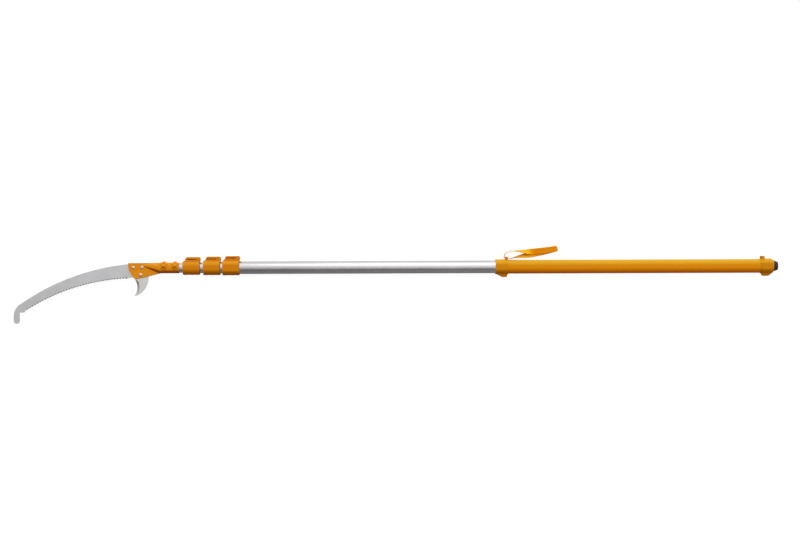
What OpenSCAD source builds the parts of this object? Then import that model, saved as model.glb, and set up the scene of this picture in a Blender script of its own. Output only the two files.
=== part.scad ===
// Telescoping pole saw: a curved pruning blade and an under-hook on four nested oval poles.
// Millimetres. The tool lies on its side: X runs from the blade tip to the butt, Y points
// to the lever side, Z points up. Stations along the tool are counted from the blade tip,
// and placed() moves them to the frame, whose origin is the bottom centre of the box.

/* [Blade] */
// Thickness of the saw blade
blade_t = 1.6; // [1.2:0.1:1.8]
// Number of saw teeth
tooth_count = 74; // [40:1:90]
// Depth of a tooth from tip to gullet
tooth_depth = 3; // [1:0.1:4]
// Lean of a tooth tip towards the pole, as a share of the pitch
tooth_lean = 0.7; // [0.5:0.05:0.85]
// Width of the hook finger at the blade's tip
finger_w = 19.7; // [14:0.1:20]

/* [Sickle] */
// Thickness of the under-hook
sickle_t = 2.4; // [1.8:0.1:3]

/* [Head] */
// Thickness of a cheek of the head bracket
cheek_t = 2.7; // [2:0.1:3.5]
// Station where the bracket's socket begins
socket_start = 479.5; // [470:0.5:485]
// Station where the bracket's socket ends
socket_end = 543.5; // [535:0.5:548]
// Wall of the socket
socket_wall = 1.7; // [1.4:0.1:3]
// Radius of a blade bolt's head
bolt_head_r = 5.8; // [5:0.1:6.5]
// Radius of the bolts' shanks
bolt_r = 3; // [2.5:0.1:3]
// Across-corner radius of a clamp boss at its foot
boss_r = 15.5; // [14:0.5:16]
// Height of the clamp bolts above the pole axis
boss_y = 6.5; // [5:0.5:7]
// Half depth of the head across its clamp bosses
boss_z = 15.2; // [14.5:0.1:15.5]

/* [Poles] */
// Half width of the outermost pole, its short side
pole_r = 17; // [16.5:0.1:17.2]
// Distance of an oval's end arcs from the axis
oval_c = 3.8; // [3:0.1:4.5]
// Wall of each pole
wall = 1.1; // [0.9:0.05:1.2]
// Gap between one pole and the next
gap = 0.6; // [0.5:0.05:0.8]
// Travel of each sliding pole
travel = 1270; // [1000:10:1270]
// Overlap that is left when a pole is drawn out
overlap = 152; // [140:1:160]
// Length of an end bush inside its pole
bush_len = 25; // [15:1:40]
// Length of an end bush's flange
flange_len = 6; // [4:0.5:10]

/* [Collars] */
// Length of a clamp collar
collar_len = 54.4; // [54.2:0.1:55]
// Stations of the three collars' blade ends: inner, middle and outer
collar_at = [556, 623, 686]; // [550:0.5:690]
// Half widths of the three collars
collar_r = [19.3, 20.3, 21.1]; // [19:0.1:21.2]
// Heights of the three levers above the axis
lever_top = [35.3, 36.6, 38.2]; // [35:0.1:38.5]
// Thicknesses of the three levers' plates
lever_t = [7.4, 7, 5.6]; // [5:0.1:7.4]
// Finger gap under a lever
lever_gap = 4.2; // [3.8:0.1:4.2]
// Half width of a lever
lever_half = 8; // [7:0.1:8]
// Length of the collar's lip, past the end of its pole
lip_len = 12; // [10:0.5:14]
// Radius of a lever pin
pin_r = 2.5; // [2:0.1:3]
// Running clearance of a lever on its pin
pin_play = 0.05; // [0.02:0.01:0.1]
// Eccentricity of a lever's cam
cam_e = 1.2; // [1:0.1:1.4]

/* [Grip and fittings] */
// Station where the front fitting begins
front_start = 1579.6; // [1570:0.5:1582]
// Station where the grip sleeve begins
grip_start = 1621; // [1618:0.5:1625]
// Station where the grip sleeve ends and the rear cap begins
grip_end = 2447.5; // [2440:0.5:2450]
// Station where the rear cap ends and the foot begins
cap_end = 2491; // [2490:0.5:2496]
// Station of the foot's end, the whole length of the closed tool
foot_end = 2505.3; // [2500:0.1:2510]
// Half width of the grip sleeve
grip_r = 18.6; // [18:0.1:19]
// Half width of the fittings before their flats are cut
fitting_r = 20.6; // [20.2:0.1:21]
// Height of the axis over the flats that the tool lies on
rest_z = 20; // [19.5:0.1:20.2]

/* [Strap] */
// Width of the strap's webbing
strap_w = 19; // [15:1:20]
// Thickness of the strap's webbing
strap_t = 1.6; // [1.2:0.1:2]

/* [Hidden] */
$fn = 64;

// Colours
ORANGE = [0.90, 0.52, 0.08];
YELLOW = [0.92, 0.62, 0.10];
ALLOY = [0.78, 0.79, 0.82];
STEEL = [0.70, 0.70, 0.71];
NYLON = [0.85, 0.84, 0.80];
RUBBER = [0.10, 0.09, 0.08];

// Fits between pieces that are fastened together, and between pieces that move
fixed_gap = 0.1;
moving_gap = 0.3;

// Half widths of the four poles, inner to outer
pole_rs = [for (i = [0:3]) pole_r - (3 - i) * (wall + gap)];
// Blade ends of the four poles
head_depth = 58;
pole_from = [socket_end - head_depth, for (i = [0:2]) collar_at[i] + lip_len];
// Butt ends of the four poles
outer_to = 2486;
pole_to = [for (i = [0:2]) pole_from[i + 1] + travel + overlap, outer_to];

// The lever pin is this far from the collar's butt end, and this far under the lever's top
pin_back = 4.2;
knuckle_r = 6;
cam_r = 6.2;
cam_drop = cam_r + cam_e;
cam_play = 0.5;
pad_half_x = 3.4;
pad_back = 1.2;
pad_half_z = 7;
window_play = 0.6;
lug_t = 4;
lug_in = lever_half + 0.4;
lug_half = lug_in + lug_t;
// The pin's hole goes in from the back and stops this far under the front face of the lug
pin_skin = 0.8;
web_half = 1.5;
web_clear = 0.8;
rail_h = 0.6;

// Profile of a collar: its ramp at the blade end, and the seat of its lugs at the butt end
ramp_foot = 15.6;
ramp_len = 6.5;
lug_seat = 11;
butt_slope = 3;

// Layers of the head, from the axis plane outwards
stack_half = (blade_t + sickle_t) / 2;
cheek_out = stack_half + cheek_t;
socket_r = pole_rs[0] + fixed_gap + socket_wall;
blade_bolt_at = [[392, 1.3], [421.3, 2.2], [416.6, -22.4]];
clamp_bolt_at = [[494.2, boss_y], [529.8, boss_y]];
ridge_x = 424;
hollow_x = 444;
hollow_wall = 2;
ridge_y = 8.5;
split = 0.25;
plate_end = 432;
boss_foot = 4;
boss_bevel = 3.2;
boss_taper = 4;
nut_r = 5.8;
nut_t = 4.5;
washer_r = 6.2;
washer_t = 1;
bolt_end = 0.8;
head_h = 3.3;
clamp_head_r = 7;
clamp_head_h = 3.6;
hex_r = 2.3;
hex_deep = 1.6;

// Cap screws of the collars and fittings, and their counterbores
screw_r = 2;
screw_head_r = 3.6;
screw_head_h = 2;
counterbore_r = 3.9;
counterbore_deep = 2.4;
front_screw_x = [1590, 1604];
cap_screw_x = [2466, 2480];
// Screw stations of a collar, from its blade end
collar_screw_x = [20, 40];

// Stop rivets of the poles
stop_y = [-2.4, 2.4];
rivet_r = 2;
rivet_play = 0.05;
rivet_sunk = 0.02;
rivet_inside = 0.4;

// Strap eyes and stop bumps of the two fittings, and the foot's stem
eye_low = 25.2;
eye_high = 29.8;
eye_top = 32.8;
eye_len = 8.5;
eye_inset = 0.5;
eye_half = 13;
eye_post = 2.6;
bump_half = 9;
bump_nose = 5;
under_seat = 2.1;
stem_r = 9;

// Box of the closed tool across the pole, which sets the frame's origin
low_y = -181.6;
high_y = 69.5;

// Circle through three points, and points along that circle from the first to the last
function centre3(a, b, c) = let (
    d = 2 * (a.x * (b.y - c.y) + b.x * (c.y - a.y) + c.x * (a.y - b.y)),
    aa = a * a, bb = b * b, cc = c * c)
    [(aa * (b.y - c.y) + bb * (c.y - a.y) + cc * (a.y - b.y)) / d,
     (aa * (c.x - b.x) + bb * (a.x - c.x) + cc * (b.x - a.x)) / d];
function angle_of(p, o) = atan2(p.y - o.y, p.x - o.x);
function turn_to(a, b) = (b - a + 540) % 360 - 180;
function arc3(a, b, c, n) = let (
    o = centre3(a, b, c),
    r = norm(a - o),
    start = angle_of(a, o),
    sweep = turn_to(start, angle_of(c, o)))
    [for (i = [0:n]) o + r * [cos(start + sweep * i / n), sin(start + sweep * i / n)]];

// Moves stations along the tool into the frame
module placed() translate([-foot_end / 2, -(low_y + high_y) / 2, rest_z]) children();

// Oval outline with its long side along the first axis
module oval(r) {
    for (s = [-1, 1]) translate([s * oval_c, 0]) circle(r);
    square([2 * oval_c, 2 * r], center = true);
}

// Solid oval bar from one station to another
module bar(x0, x1, r) translate([x0, 0, 0]) rotate([90, 0, 90]) linear_extrude(x1 - x0) oval(r);

// Oval tube between two stations
module tube(x0, x1, r_out, r_in) translate([x0, 0, 0]) rotate([90, 0, 90])
    linear_extrude(x1 - x0) difference() {
        oval(r_out);
        oval(r_in);
    }

// Slab of an outline in the XY plane between two heights
module slab(z0, z1) translate([0, 0, z0]) linear_extrude(z1 - z0) children();

// Everything between the two resting flats
module flats() translate([0, -60, -rest_z]) cube([foot_end, 120, 2 * rest_z]);

// ---- Blade and under-hook ----

// Tooth line: the circle through the teeth, from the heel by the hook to the bracket
tooth_a = [40, -138.2];
tooth_b = [211, -60.4];
tooth_c = [371, -34];
function teeth() = let (
    o = centre3(tooth_a, tooth_b, tooth_c),
    r = norm(tooth_a - o),
    a0 = angle_of(tooth_a, o),
    step = turn_to(a0, angle_of(tooth_c, o)) / tooth_count,
    deep = r + tooth_depth / 2,
    tip = r - tooth_depth / 2)
    [for (i = [0:tooth_count - 1], k = [0, 1]) let (
        a = a0 + step * (i + k * tooth_lean))
        o + (k == 0 ? deep : tip) * [cos(a), sin(a)]];
function reversed(p) = [for (i = [len(p) - 1:-1:0]) p[i]];

module blade_outline() {
    finger_r = finger_w / 2;
    finger_end = low_y + finger_r;
    polygon(concat(
        arc3([27, -114], [171, -37], [375, 12.7], 36),
        [[400, 14], [424, 12], [431, 5], [430, -21], [424, -26], [392, -31.5], [374, -33]],
        reversed(teeth()),
        [[35, -144.3], [finger_w, -145]],
        [for (a = [0:-15:-180]) [finger_r, finger_end] + finger_r * [cos(a), sin(a)]],
        arc3([0, -158], [2.4, -141], [10.5, -127], 5),
        [[17, -119.5]]
    ));
}

module blade() color(STEEL) placed() difference() {
    slab(stack_half - blade_t, stack_half) blade_outline();
    for (p = blade_bolt_at) translate([p.x, p.y, 0]) cylinder(r = bolt_r + fixed_gap, h = 10);
}

module sickle_outline() polygon(concat(
    [[397.5, -36], [392, -26], [384, -2], [390, 9], [426, 9], [432, -5]],
    arc3([441.8, -30], [430, -68.5], [402, -91], 14),
    [[397.4, -92]],
    arc3([396.6, -90.6], [405, -63.5], [398, -38], 12)
));

module sickle() color(STEEL) placed() difference() {
    slab(-stack_half, -stack_half + sickle_t) sickle_outline();
    for (p = blade_bolt_at) translate([p.x, p.y, -5])
        cylinder(r = bolt_r + fixed_gap, h = 10);
}

// ---- Head bracket: two pressed shells, mirrored ----

module cheek_outline() polygon(concat(
    arc3([375.6, 15], [381.3, -13.4], [397, -35.4], 12),
    [[401, -36], [414, -33.4], [440.2, -28.4], [socket_start, -17.7], [socket_start + 6, -16]],
    [[socket_start + 6, 16.5], [377, 16.5]]
));

// Fairing that swells from the flat cheek into the socket
module fairing(r, apex_x, apex_z) hull() {
    $fn = 32;
    bar(socket_start, socket_start + 1, r);
    translate([apex_x, ridge_y, -apex_z]) cylinder(r = 1, h = 2 * apex_z);
}

module half_bracket() difference() {
    union() {
        slab(stack_half, cheek_out) cheek_outline();
        fairing(socket_r, ridge_x, cheek_out);
        bar(socket_start, socket_end, socket_r);
        for (p = clamp_bolt_at) translate([p.x, p.y, boss_foot]) rotate(90) {
            cylinder(r = boss_r, h = boss_z - boss_bevel - boss_foot, $fn = 6);
            translate([0, 0, boss_z - boss_bevel - boss_foot])
                cylinder(r1 = boss_r, r2 = boss_r - boss_taper, h = boss_bevel, $fn = 6);
        }
    }
    fairing(socket_r - hollow_wall, hollow_x, 2);
    bar(socket_start - 0.5, socket_end + 1, pole_rs[0] + fixed_gap);
    translate([360, -60, split - 40]) cube([200, 120, 40]);
    translate([360, -60, -1]) cube([plate_end - 360, 120, 1 + stack_half]);
    for (p = concat(blade_bolt_at, clamp_bolt_at)) translate([p.x, p.y, -1])
        cylinder(r = bolt_r + fixed_gap, h = 30);
}

module bracket_front() color(ORANGE) placed() half_bracket();
module bracket_rear() color(ORANGE) placed() mirror([0, 0, 1]) half_bracket();

// Round-head bolt along Z, its head's seat at height z1 and its end at height z0
module round_bolt(z0, z1, head_r, head_h) {
    dome_r = (head_r * head_r + head_h * head_h) / (2 * head_h);
    translate([0, 0, z0]) cylinder(r = bolt_r, h = z1 - z0 + 0.5);
    intersection() {
        translate([0, 0, z1 + head_h - dome_r]) sphere(dome_r);
        translate([0, 0, z1]) cylinder(r = head_r, h = head_h);
    }
}

// The same bolt with a hex socket in its head
module button_bolt(z0, z1, head_r, head_h) difference() {
    round_bolt(z0, z1, head_r, head_h);
    translate([0, 0, z1 + head_h - hex_deep]) cylinder(r = hex_r, h = 2 * hex_deep, $fn = 6);
}

// Hex nut along Z with a plain bore
module nut(z0) translate([0, 0, z0]) difference() {
    cylinder(r = nut_r, h = nut_t, $fn = 6);
    translate([0, 0, -1]) cylinder(r = bolt_r + fixed_gap / 2, h = nut_t + 2);
}

module blade_bolts() color(STEEL) placed() for (p = blade_bolt_at)
    translate([p.x, p.y, 0])
        button_bolt(-cheek_out - washer_t - nut_t - bolt_end, cheek_out, bolt_head_r, head_h);

module blade_washers() color(STEEL) placed() for (p = blade_bolt_at)
    translate([p.x, p.y, -cheek_out - washer_t]) difference() {
        cylinder(r = washer_r, h = washer_t);
        translate([0, 0, -1]) cylinder(r = bolt_r + fixed_gap, h = washer_t + 2);
    }

module blade_nuts() color(STEEL) placed() for (p = blade_bolt_at)
    translate([p.x, p.y, 0]) nut(-cheek_out - washer_t - nut_t);

module clamp_bolts() color(ORANGE) placed() for (p = clamp_bolt_at)
    translate([p.x, p.y, 0]) round_bolt(-boss_z - nut_t, boss_z, clamp_head_r, clamp_head_h);

module clamp_nuts() color(STEEL) placed() for (p = clamp_bolt_at)
    translate([p.x, p.y, 0]) nut(-boss_z - nut_t);

// Plug that keeps the pole from crushing under the clamp bolts
module head_insert() color(NYLON) placed() difference() {
    bar(pole_from[0], socket_end - 2, pole_rs[0] - wall - fixed_gap);
    for (p = clamp_bolt_at) translate([p.x, p.y, -30])
        cylinder(r = bolt_r + fixed_gap, h = 60);
}

// ---- Poles, bushes and stops ----

// Hole along Y through the bottom of a tube
module bottom_hole(x, r) translate([x, -40, 0]) rotate([-90, 0, 0]) cylinder(r = r, h = 38);

// Station of the stop rivets in the tube around pole i
function stop_x(i) = pole_to[i] - travel - 3;

// Tube number i, with the window and holes of the collar that it carries
module pole(i) color(ALLOY) placed() difference() {
    tube(pole_from[i], pole_to[i], pole_rs[i], pole_rs[i] - wall);
    if (i > 0) {
        pad_hole(i - 1, window_play);
        for (s = collar_screw_x) bottom_hole(collar_at[i - 1] + s, screw_r + fixed_gap);
        for (y = stop_y) translate([stop_x(i - 1), y, -30])
            cylinder(r = rivet_r + rivet_play, h = 30);
    }
    if (i == 0) for (p = clamp_bolt_at) translate([p.x, p.y, -30])
        cylinder(r = bolt_r + fixed_gap, h = 60);
    if (i == 3) for (x = concat(front_screw_x, cap_screw_x)) translate([x, 0, -30])
        cylinder(r = screw_r + fixed_gap, h = 30);
}

module inner_pole() pole(0);
module second_pole() pole(1);
module third_pole() pole(2);
module outer_pole() pole(3);

// Slide bush: a plug in the butt end of pole i, with a flange that runs in the next pole
module bush(i) color(NYLON) placed() {
    bore = pole_rs[i + 1] - wall;
    difference() {
        bar(pole_to[i] - bush_len, pole_to[i] + 1, pole_rs[i] - wall - fixed_gap);
        bar(pole_to[i] - bush_len - 1, pole_to[i] - 3, pole_rs[i] - wall - 2.5);
    }
    bar(pole_to[i], pole_to[i] + flange_len, bore - 0.2);
}

module inner_bush() bush(0);
module second_bush() bush(1);
module third_bush() bush(2);

// Flush rivets that end inside the bore of the tube around pole i and stop its bush
module stop_rivets(i) color(ALLOY) placed() {
    r = pole_rs[i + 1];
    for (y = stop_y) translate([stop_x(i), y, -r + rivet_sunk])
        cylinder(r = rivet_r, h = wall + rivet_inside - rivet_sunk);
}

module second_stop_rivets() stop_rivets(0);
module third_stop_rivets() stop_rivets(1);
module outer_stop_rivets() stop_rivets(2);

// ---- Clamp collars ----

function deck_y(i) = lever_top[i] - lever_t[i] - lever_gap;
function pin_x(i) = collar_at[i] + collar_len - pin_back;
function pin_y(i) = lever_top[i] - knuckle_r;

// Opening around the friction pad of collar i
module pad_hole(i, play)
    translate([pin_x(i) - pad_back - pad_half_x - play, 4, -pad_half_z - play])
    cube([2 * (pad_half_x + play), 60, 2 * (pad_half_z + play)]);

// Collar i, fixed to the end of pole i + 1 and sliding over pole i
module collar(i) color(ORANGE) placed() {
    x = collar_at[i];
    end = x + collar_len;
    r = collar_r[i];
    deck = deck_y(i);
    difference() {
        union() {
            bar(x + 1, end - 1, r);
            bar(x, end, r - 1);
            slab(-lug_half, lug_half) polygon([
                [x, 0], [x, ramp_foot], [x + ramp_len, deck], [end - 1, deck],
                [end, deck - butt_slope], [end, 0]]);
            for (s = [0, 1]) mirror([0, 0, s]) slab(lug_in, lug_half) {
                polygon([[x + ramp_len - 0.5, deck - 2], [x + ramp_len + 1, deck + rail_h],
                    [end - lug_seat + 1, deck + rail_h], [end - lug_seat + 1, deck - 2]]);
                hull() {
                    translate([pin_x(i), pin_y(i)]) circle(knuckle_r + 0.2, $fn = 32);
                    translate([end - lug_seat, deck - 2]) square([lug_seat, 2]);
                }
            }
        }
        bar(x - 1, end + 1, pole_rs[i] + 0.6);
        bar(x + 1.5, end + 1, pole_rs[i + 1] + fixed_gap);
        pad_hole(i, moving_gap);
        translate([pin_x(i), pin_y(i), -lug_in]) cylinder(r = cam_drop + cam_play, h = 2 * lug_in);
        translate([pin_x(i), pin_y(i), -lug_half - 1])
            cylinder(r = pin_r + fixed_gap / 2, h = 2 * lug_half + 1 - pin_skin + fixed_gap);
        for (s = collar_screw_x) {
            bottom_hole(x + s, screw_r + fixed_gap);
            translate([x + s, -40, 0]) rotate([-90, 0, 0])
                cylinder(r = counterbore_r, h = 40 - r - oval_c + counterbore_deep);
        }
        difference() {
            translate([x - 1, -60, -60]) cube([collar_len + 2, 120, 120]);
            flats();
        }
    }
}

module inner_collar() collar(0);
module middle_collar() collar(1);
module outer_collar() collar(2);

// Plastic guide ring in the lip of collar i
module liner(i) color(NYLON) placed()
    tube(collar_at[i] + 1.6, collar_at[i] + lip_len - 0.2,
        pole_rs[i + 1], pole_rs[i] + moving_gap);

module inner_liner() liner(0);
module middle_liner() liner(1);
module outer_liner() liner(2);

// Cam lever of collar i, closed
module lever(i) color(ORANGE) placed() {
    x = collar_at[i];
    top = lever_top[i];
    under = top - lever_t[i];
    deck = deck_y(i);
    difference() {
        union() {
            slab(-lever_half, lever_half) polygon([
                [x + 6.6, deck + 1.1], [x + 9.6, top - 2.6], [x + 12.2, top],
                [pin_x(i), top], [pin_x(i), under],
                [x + 12.5, under], [x + 10.5, deck + 0.9], [x + 7.2, deck + 0.9]]);
            slab(-web_half, web_half) polygon([
                [x + 12, under + 0.1], [x + 13, deck + web_clear],
                [pin_x(i) - 4, deck + web_clear], [pin_x(i) - 4, under + 0.1]]);
            translate([pin_x(i), pin_y(i), -lever_half])
                cylinder(r = knuckle_r, h = 2 * lever_half);
            translate([pin_x(i), pin_y(i) - cam_e, -lever_half])
                cylinder(r = cam_r, h = 2 * lever_half);
        }
        translate([pin_x(i), pin_y(i), -30]) cylinder(r = pin_r + pin_play, h = 60);
    }
}

module inner_lever() lever(0);
module middle_lever() lever(1);
module outer_lever() lever(2);

// Hinge pin of lever i, flush with the back of its lug
module lever_pin(i) color(STEEL) placed() translate([pin_x(i), pin_y(i), -lug_half])
    cylinder(r = pin_r, h = 2 * lug_half - pin_skin);

module inner_lever_pin() lever_pin(0);
module middle_lever_pin() lever_pin(1);
module outer_lever_pin() lever_pin(2);

// Friction pad that cam i presses onto the sliding pole
module pad(i) color(RUBBER) placed() difference() {
    low = oval_c + pole_rs[i] - 3;
    high = pin_y(i) - cam_drop - moving_gap;
    translate([pin_x(i) - pad_back - pad_half_x, low, -pad_half_z])
        cube([2 * pad_half_x, high - low, 2 * pad_half_z]);
    bar(pin_x(i) - 20, pin_x(i) + 20, pole_rs[i] + moving_gap);
}

module inner_pad() pad(0);
module middle_pad() pad(1);
module outer_pad() pad(2);

// Cap screw whose head's seat is at height seat and whose end is at height tip, along Z
module cap_screw(tip, seat) {
    translate([0, 0, seat]) mirror([0, 0, 1]) difference() {
        cylinder(r = screw_head_r, h = screw_head_h);
        translate([0, 0, screw_head_h / 2]) cylinder(r = 1.5, h = 2, $fn = 6);
    }
    translate([0, 0, seat - 0.5]) cylinder(r = screw_r, h = tip - seat + 0.5);
}

module collar_screws(i) color(STEEL) placed() for (s = collar_screw_x)
    translate([collar_at[i] + s, 0, 0]) rotate([-90, 0, 0])
        cap_screw(-pole_rs[i + 1] - oval_c + wall, -collar_r[i] - oval_c + counterbore_deep);

module inner_collar_screws() collar_screws(0);
module middle_collar_screws() collar_screws(1);
module outer_collar_screws() collar_screws(2);

// ---- Grip, fittings, foot and strap ----

module grip_sleeve() color(YELLOW) placed()
    tube(grip_start, grip_end, grip_r, pole_r + fixed_gap);

// Bail that a strap threads through, from one station to another
module eye(x0, x1) difference() {
    translate([x0, 0, -eye_half]) cube([x1 - x0, eye_top, 2 * eye_half]);
    translate([x0 - 1, eye_low, -eye_half + eye_post])
        cube([x1 - x0 + 2, eye_high - eye_low, 2 * (eye_half - eye_post)]);
}

// Holes and counterbores of a fitting's screws in its underside
module under_screws(xs) for (x = xs) translate([x, 0, -rest_z - 1]) {
    cylinder(r = screw_r + fixed_gap, h = rest_z);
    cylinder(r = counterbore_r, h = 1 + under_seat);
}

module front_fitting() color(ORANGE) placed() difference() {
    intersection() {
        union() {
            bar(front_start, grip_start, fitting_r);
            eye(grip_start - eye_inset - eye_len, grip_start - eye_inset);
            hull() {
                slab(-bump_half, bump_half) polygon([
                    [front_start + 1, -14], [front_start + 1, -22],
                    [grip_start - 1, -22], [grip_start - 1, -14]]);
                slab(-bump_nose, bump_nose) polygon([
                    [front_start + 21, -33], [front_start + 24, -33.8],
                    [grip_start - 6, -33.8], [grip_start - 4, -32]]);
            }
        }
        flats();
    }
    bar(front_start - 1, grip_start + 1, pole_r + fixed_gap);
    under_screws(front_screw_x);
}

module front_fitting_screws() color(STEEL) placed() for (x = front_screw_x)
    translate([x, 0, 0]) cap_screw(-pole_r + wall, -rest_z + under_seat);

module rear_cap() color(ORANGE) placed() difference() {
    intersection() {
        union() {
            bar(grip_end, cap_end - 8, fitting_r);
            hull() {
                $fn = 32;
                bar(cap_end - 9, cap_end - 8, fitting_r);
                bar(cap_end - 1, cap_end, fitting_r - 5.2);
            }
            eye(grip_end + 2.5, grip_end + 12.5);
            hull() {
                slab(-bump_half, bump_half) polygon([
                    [grip_end + 2, -14], [grip_end + 3, -20],
                    [cap_end - 2, -20], [cap_end - 2, -14]]);
                slab(-bump_nose, bump_nose) polygon([
                    [grip_end + 5.5, -30.5], [grip_end + 10, -32.5],
                    [grip_end + 24, -32.5], [grip_end + 30, -30]]);
            }
        }
        flats();
    }
    bar(grip_end - 1, outer_to + 0.2, pole_r + fixed_gap);
    translate([outer_to - 1, 0, 0]) rotate([0, 90, 0]) cylinder(r = stem_r + 0.2, h = 20);
    under_screws(cap_screw_x);
}

module rear_cap_screws() color(STEEL) placed() for (x = cap_screw_x)
    translate([x, 0, 0]) cap_screw(-pole_r + wall, -rest_z + under_seat);

// Plug in the outer pole's butt end, which holds the foot's stem
module butt_plug() color(NYLON) placed() difference() {
    bar(outer_to - 30, outer_to, pole_r - wall - fixed_gap);
    translate([outer_to - 20, 0, 0]) rotate([0, 90, 0]) cylinder(r = stem_r + 0.2, h = 40);
    for (x = cap_screw_x) translate([x, 0, -30]) cylinder(r = screw_r + fixed_gap, h = 18);
}

module rubber_foot() color(RUBBER) placed() {
    hull() {
        $fn = 32;
        bar(cap_end, cap_end + 1, 14.2);
        bar(foot_end - 1, foot_end, 9.7);
    }
    translate([outer_to - 19, 0, 0]) rotate([0, 90, 0])
        cylinder(r = stem_r, h = cap_end - outer_to + 20);
}

// Wrist strap: a loop of webbing threaded through the front eye, its tail lying on the floor
module wrist_strap() color(YELLOW) placed() {
    half = strap_w / 2;
    bar_x = grip_start - eye_inset - eye_len;
    slab(-half, half) difference() {
        polygon([[bar_x - 2.4, 26], [bar_x - 2.4, 35], [bar_x + 12, 35.4],
            [bar_x + 24, 33], [bar_x + 24, 27.5], [bar_x + 9, 25.8]]);
        translate([bar_x - 0.5, 26.2 + strap_t]) square([eye_len + 1, 7 - strap_t]);
    }
    hull() {
        translate([bar_x + 22, 27.5, -half]) cube([2, 5.5, strap_w]);
        translate([bar_x + 62, 30, 0.6 - rest_z]) cube([2, 18, 14]);
    }
    hull() {
        translate([bar_x + 62, 30, 0.6 - rest_z]) cube([2, 18, 14]);
        translate([bar_x + 170, high_y - 24, 0.6 - rest_z]) cube([6, 24, 9]);
    }
}

blade();
sickle();
bracket_front();
bracket_rear();
blade_bolts();
blade_washers();
blade_nuts();
clamp_bolts();
clamp_nuts();
head_insert();
inner_pole();
second_pole();
third_pole();
outer_pole();
inner_bush();
second_bush();
third_bush();
inner_collar();
middle_collar();
outer_collar();
inner_liner();
middle_liner();
outer_liner();
inner_lever();
middle_lever();
outer_lever();
inner_lever_pin();
middle_lever_pin();
outer_lever_pin();
inner_pad();
middle_pad();
outer_pad();
inner_collar_screws();
middle_collar_screws();
outer_collar_screws();
second_stop_rivets();
third_stop_rivets();
outer_stop_rivets();
grip_sleeve();
front_fitting();
front_fitting_screws();
rear_cap();
rear_cap_screws();
butt_plug();
rubber_foot();
wrist_strap();
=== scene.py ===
"""Looks of the telescoping pole saw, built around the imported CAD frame.

Lengths in the modelling functions are millimetres. They are counted as in the CAD source: X from
the blade tip to the butt, Y from the pole axis to the lever side, Z up from the pole axis.
"""

import math

import bpy
import numpy as np
import openvdb
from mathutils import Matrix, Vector, geometry


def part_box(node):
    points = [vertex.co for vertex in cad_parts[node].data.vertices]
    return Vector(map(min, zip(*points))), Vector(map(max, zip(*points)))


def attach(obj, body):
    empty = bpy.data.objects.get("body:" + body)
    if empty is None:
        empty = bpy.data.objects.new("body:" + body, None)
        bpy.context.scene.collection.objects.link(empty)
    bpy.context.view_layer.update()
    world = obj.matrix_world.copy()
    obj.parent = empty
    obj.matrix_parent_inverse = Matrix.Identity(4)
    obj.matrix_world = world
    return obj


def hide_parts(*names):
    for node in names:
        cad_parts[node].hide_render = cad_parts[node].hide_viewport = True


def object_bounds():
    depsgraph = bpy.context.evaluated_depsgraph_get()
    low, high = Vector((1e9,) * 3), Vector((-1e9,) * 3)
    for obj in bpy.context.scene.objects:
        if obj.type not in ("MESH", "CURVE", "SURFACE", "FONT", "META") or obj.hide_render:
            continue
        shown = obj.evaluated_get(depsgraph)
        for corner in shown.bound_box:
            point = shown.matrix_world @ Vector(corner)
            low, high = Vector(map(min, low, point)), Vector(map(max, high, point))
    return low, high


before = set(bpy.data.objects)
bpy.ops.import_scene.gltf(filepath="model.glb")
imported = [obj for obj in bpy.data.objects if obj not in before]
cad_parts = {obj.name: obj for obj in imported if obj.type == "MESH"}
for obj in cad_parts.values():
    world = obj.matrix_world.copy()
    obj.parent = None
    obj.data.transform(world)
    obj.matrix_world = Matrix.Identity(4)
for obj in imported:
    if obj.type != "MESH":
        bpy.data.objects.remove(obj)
cad_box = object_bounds()

MM = 0.001
PALE = (1.0, 1.0, 1.0, 1.0)

# ---- Places read from the CAD ----

axis_lo, axis_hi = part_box("outer_pole")
ORIGIN = np.array(
    [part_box("blade")[0].x, (axis_lo.y + axis_hi.y) / 2, (axis_lo.z + axis_hi.z) / 2]
)
OVAL = ((axis_hi.y - axis_lo.y) - (axis_hi.z - axis_lo.z)) / 2 / MM


def span(node):
    """Lowest and highest corner of a CAD node, in millimetres from the blade tip and the axis."""
    lo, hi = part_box(node)
    return (np.array(lo) - ORIGIN) / MM, (np.array(hi) - ORIGIN) / MM


FLAT = (ORIGIN[2] - cad_box[0].z) / MM
POLES = ["inner_pole", "second_pole", "third_pole", "outer_pole"]
POLE_BODY = ["inner_section", "second_section", "third_section", "outer_section"]
STAGES = ["inner", "middle", "outer"]
POLE_R = [span(n)[1][2] for n in POLES]
WALL = 1.1


# ---- Materials ----


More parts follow.
